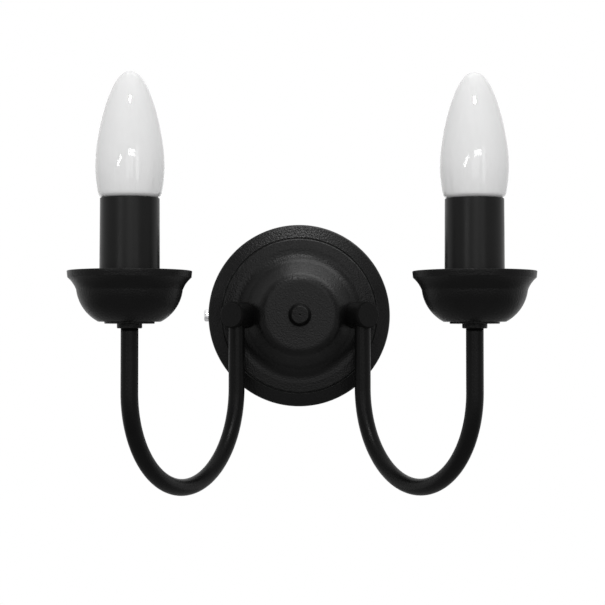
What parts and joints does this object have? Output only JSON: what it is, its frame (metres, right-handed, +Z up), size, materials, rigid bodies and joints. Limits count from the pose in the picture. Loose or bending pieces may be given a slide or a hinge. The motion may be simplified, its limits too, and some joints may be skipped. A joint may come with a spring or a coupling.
{
  "type": "double arm wall sconce",
  "caption": "Wall light with U-shaped tube arms from a round stepped canopy, bowl-shaped candle cups, plain candle sleeves and opal candle bulbs that unscrew.",
  "frame": {"origin": "centre of the wall screw slots, on the wall's surface", "axes": "+X to the right along the screw slots, +Z up, +Y into the wall, so the light stands out along -Y"},
  "size_m": [0.2384, 0.1444, 0.2193],
  "materials": {
    "black_coat": "satin black powder coat with a fine pebble grain",
    "sleeve_plastic": "matte black",
    "opal_glass": "glossy opal white",
    "screw_chrome": "bright plated",
    "zinc_steel": "zinc plated",
    "terminal_brass": "plain brass",
    "cap_nickel": "plain bright metal",
    "tip_solder": "soldered tip",
    "cap_insulator": "glossy black glass",
    "stem_glass": "clear",
    "filament_wire": "dull grey wire",
    "holder_plastic": "moulded black",
    "terminal_plastic": "moulded off-white",
    "bushing_rubber": "smooth black",
    "neutral_insulation": "blue insulation",
    "live_insulation": "brown insulation"
  },
  "bodies": {
    "root": {"canopy": "black_coat", "wall_bracket": "zinc_steel", "cable_bushing": "bushing_rubber", "earth_screw": "terminal_brass", "canopy_side_screw": "screw_chrome", "terminal_block": "terminal_plastic", "terminal_inserts": "terminal_brass", "terminal_screws": "zinc_steel", "terminal_block_screw": "zinc_steel", "centre_button": "black_coat", "button_washer": "zinc_steel", "button_nut": "zinc_steel", "left_arm_tube": "black_coat", "left_knuckle": "black_coat", "left_knuckle_washer": "zinc_steel", "left_knuckle_nut": "zinc_steel", "left_neutral_wire": "neutral_insulation", "left_live_wire": "live_insulation", "left_cup_collar": "black_coat", "left_cup_washer": "black_coat", "left_candle_cup": "black_coat", "left_cup_nut": "zinc_steel", "left_holder_stirrup": "zinc_steel", "left_lampholder_body": "holder_plastic", "left_lampholder_shell": "terminal_brass", "left_lampholder_contact": "terminal_brass", "left_lampholder_screws": "zinc_steel", "left_candle_sleeve": "sleeve_plastic", "right_arm_tube": "black_coat", "right_knuckle": "black_coat", "right_knuckle_washer": "zinc_steel", "right_knuckle_nut": "zinc_steel", "right_neutral_wire": "neutral_insulation", "right_live_wire": "live_insulation", "right_cup_collar": "black_coat", "right_cup_washer": "black_coat", "right_candle_cup": "black_coat", "right_cup_nut": "zinc_steel", "right_holder_stirrup": "zinc_steel", "right_lampholder_body": "holder_plastic", "right_lampholder_shell": "terminal_brass", "right_lampholder_contact": "terminal_brass", "right_lampholder_screws": "zinc_steel", "right_candle_sleeve": "sleeve_plastic"},
    "left_bulb_tip": {"left_bulb_tip_contact": "tip_solder"},
    "left_bulb": {"left_bulb_glass": "opal_glass", "left_bulb_cap": "cap_nickel", "left_bulb_insulator": "cap_insulator", "left_bulb_stem": "stem_glass", "left_bulb_filament": "filament_wire"},
    "right_bulb_tip": {"right_bulb_tip_contact": "tip_solder"},
    "right_bulb": {"right_bulb_glass": "opal_glass", "right_bulb_cap": "cap_nickel", "right_bulb_insulator": "cap_insulator", "right_bulb_stem": "stem_glass", "right_bulb_filament": "filament_wire"}
  },
  "joints": [
    {"name": "left_bulb_rise", "type": "slide", "parent": "root", "child": "left_bulb_tip", "axis": [0, 0, 1], "range_m": [0, 0.01412]},
    {"name": "left_bulb_turn", "type": "hinge", "parent": "left_bulb_tip", "child": "left_bulb", "pos_m": [-0.08758, -0.11275, 0], "axis": [0, 0, 1], "range_deg": [0, 1800]},
    {"name": "right_bulb_rise", "type": "slide", "parent": "root", "child": "right_bulb_tip", "axis": [0, 0, 1], "range_m": [0, 0.01412]},
    {"name": "right_bulb_turn", "type": "hinge", "parent": "right_bulb_tip", "child": "right_bulb", "pos_m": [0.08758, -0.11275, 0], "axis": [0, 0, 1], "range_deg": [0, 1800]}
  ],
  "couplings": [
    {"joint": "left_bulb_rise", "follows": "left_bulb_turn", "m_per_rad": 0.00044914},
    {"joint": "right_bulb_rise", "follows": "right_bulb_turn", "m_per_rad": 0.00044914}
  ]
}
